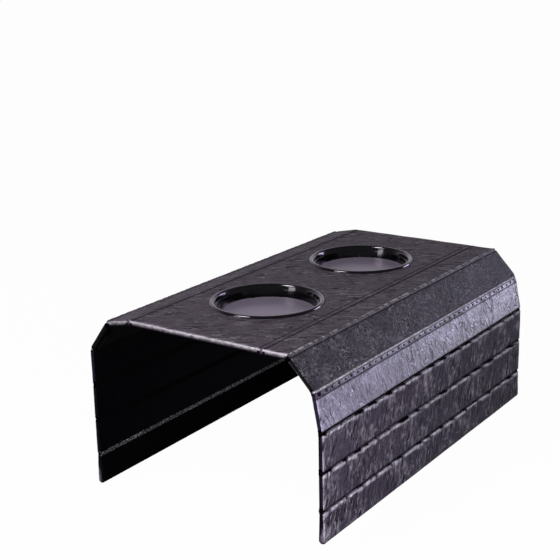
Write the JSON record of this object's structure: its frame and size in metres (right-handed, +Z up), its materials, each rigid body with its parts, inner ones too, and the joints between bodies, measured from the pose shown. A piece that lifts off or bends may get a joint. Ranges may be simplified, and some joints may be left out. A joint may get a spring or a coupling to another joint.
{
  "type": "sofa arm tray",
  "caption": "Leather sofa arm tray: a flat panel with drop-in cup dishes and a hinged flap of stiff sewn slats hanging down each side of the arm.",
  "frame": {"origin": "centre of the centre panel's underside, where it lies on the sofa arm", "axes": "+Z up, +Y along the seams away from the near end, +X towards the flap that starts with the level strip"},
  "size_m": [0.2379, 0.363, 0.1603],
  "materials": {
    "centre_leather": "satin",
    "slat_leather": "satin",
    "seam_leather": "satin",
    "fibreboard": "matte",
    "lining": "matte",
    "steel_rod": "satin",
    "dish_plastic": "gloss"
  },
  "bodies": {
    "centre_panel": {"centre_cover": "centre_leather", "centre_board": "fibreboard", "centre_lining": "lining", "right_seam_strip": "seam_leather", "left_seam_strip": "seam_leather"},
    "right_strip": {"right_strip_cover": "slat_leather", "right_strip_board": "fibreboard", "right_strip_lining": "lining", "right_seam_a": "seam_leather"},
    "right_slat_a": {"right_slat_a_cover": "slat_leather", "right_slat_a_board": "fibreboard", "right_slat_a_lining": "lining", "right_seam_b": "seam_leather"},
    "right_slat_b": {"right_slat_b_cover": "slat_leather", "right_slat_b_board": "fibreboard", "right_slat_b_lining": "lining", "right_seam_c": "seam_leather"},
    "right_slat_c": {"right_slat_c_cover": "slat_leather", "right_slat_c_board": "fibreboard", "right_slat_c_lining": "lining", "right_seam_d": "seam_leather"},
    "right_slat_d": {"right_slat_d_cover": "slat_leather", "right_slat_d_board": "fibreboard", "right_slat_d_lining": "lining", "right_seam_e": "seam_leather"},
    "right_slat_e": {"right_slat_e_cover": "slat_leather", "right_slat_e_board": "fibreboard", "right_hem_rod": "steel_rod"},
    "left_strip": {"left_strip_cover": "slat_leather", "left_strip_board": "fibreboard", "left_strip_lining": "lining", "left_seam_a": "seam_leather"},
    "left_slat_a": {"left_slat_a_cover": "slat_leather", "left_slat_a_board": "fibreboard", "left_slat_a_lining": "lining", "left_seam_b": "seam_leather"},
    "left_slat_b": {"left_slat_b_cover": "slat_leather", "left_slat_b_board": "fibreboard", "left_slat_b_lining": "lining", "left_seam_c": "seam_leather"},
    "left_slat_c": {"left_slat_c_cover": "slat_leather", "left_slat_c_board": "fibreboard", "left_slat_c_lining": "lining", "left_seam_d": "seam_leather"},
    "left_slat_d": {"left_slat_d_cover": "slat_leather", "left_slat_d_board": "fibreboard", "left_slat_d_lining": "lining", "left_seam_e": "seam_leather"},
    "left_slat_e": {"left_slat_e_cover": "slat_leather", "left_slat_e_board": "fibreboard", "left_hem_rod": "steel_rod"},
    "cup_dish_front": {"cup_dish_front": "dish_plastic"},
    "cup_dish_rear": {"cup_dish_rear": "dish_plastic"}
  },
  "joints": [
    {"name": "right_strip_fold", "type": "hinge", "parent": "centre_panel", "child": "right_strip", "pos_m": [0.0672, 0, 0.00225], "axis": [0, -1, 0], "range_deg": [0, 20]},
    {"name": "right_slat_a_fold", "type": "hinge", "parent": "right_strip", "child": "right_slat_a", "pos_m": [0.0922, 0, 0.00225], "axis": [0, -1, 0], "range_deg": [0, 67]},
    {"name": "right_slat_b_fold", "type": "hinge", "parent": "right_slat_a", "child": "right_slat_b", "pos_m": [0.11423, 0, -0.02137], "axis": [0, -1, 0], "range_deg": [0, 52]},
    {"name": "right_slat_c_fold", "type": "hinge", "parent": "right_slat_b", "child": "right_slat_c", "pos_m": [0.12039, 0, -0.05308], "axis": [0, -1, 0], "range_deg": [-45, 31]},
    {"name": "right_slat_d_fold", "type": "hinge", "parent": "right_slat_c", "child": "right_slat_d", "pos_m": [0.12039, 0, -0.08538], "axis": [0, -1, 0], "range_deg": [-45, 20]},
    {"name": "right_slat_e_fold", "type": "hinge", "parent": "right_slat_d", "child": "right_slat_e", "pos_m": [0.12039, 0, -0.11768], "axis": [0, -1, 0], "range_deg": [-45, 20]},
    {"name": "left_strip_fold", "type": "hinge", "parent": "centre_panel", "child": "left_strip", "pos_m": [-0.0672, 0, 0.00225], "axis": [0, 1, 0], "range_deg": [0, 32]},
    {"name": "left_slat_a_fold", "type": "hinge", "parent": "left_strip", "child": "left_slat_a", "pos_m": [-0.09165, 0, -0.00295], "axis": [0, 1, 0], "range_deg": [0, 61]},
    {"name": "left_slat_b_fold", "type": "hinge", "parent": "left_slat_a", "child": "left_slat_b", "pos_m": [-0.11109, 0, -0.02874], "axis": [0, 1, 0], "range_deg": [0, 57]},
    {"name": "left_slat_c_fold", "type": "hinge", "parent": "left_slat_b", "child": "left_slat_c", "pos_m": [-0.11109, 0, -0.06104], "axis": [0, 1, 0], "range_deg": [-45, 20]},
    {"name": "left_slat_d_fold", "type": "hinge", "parent": "left_slat_c", "child": "left_slat_d", "pos_m": [-0.11109, 0, -0.09334], "axis": [0, 1, 0], "range_deg": [-45, 20]},
    {"name": "left_slat_e_fold", "type": "hinge", "parent": "left_slat_d", "child": "left_slat_e", "pos_m": [-0.11109, 0, -0.12564], "axis": [0, 1, 0], "range_deg": [-45, 20]},
    {"name": "cup_dish_front_lift", "type": "slide", "parent": "centre_panel", "child": "cup_dish_front", "axis": [0, 0, 1], "range_m": [0, 0.03]},
    {"name": "cup_dish_rear_lift", "type": "slide", "parent": "centre_panel", "child": "cup_dish_rear", "axis": [0, 0, 1], "range_m": [0, 0.03]}
  ]
}
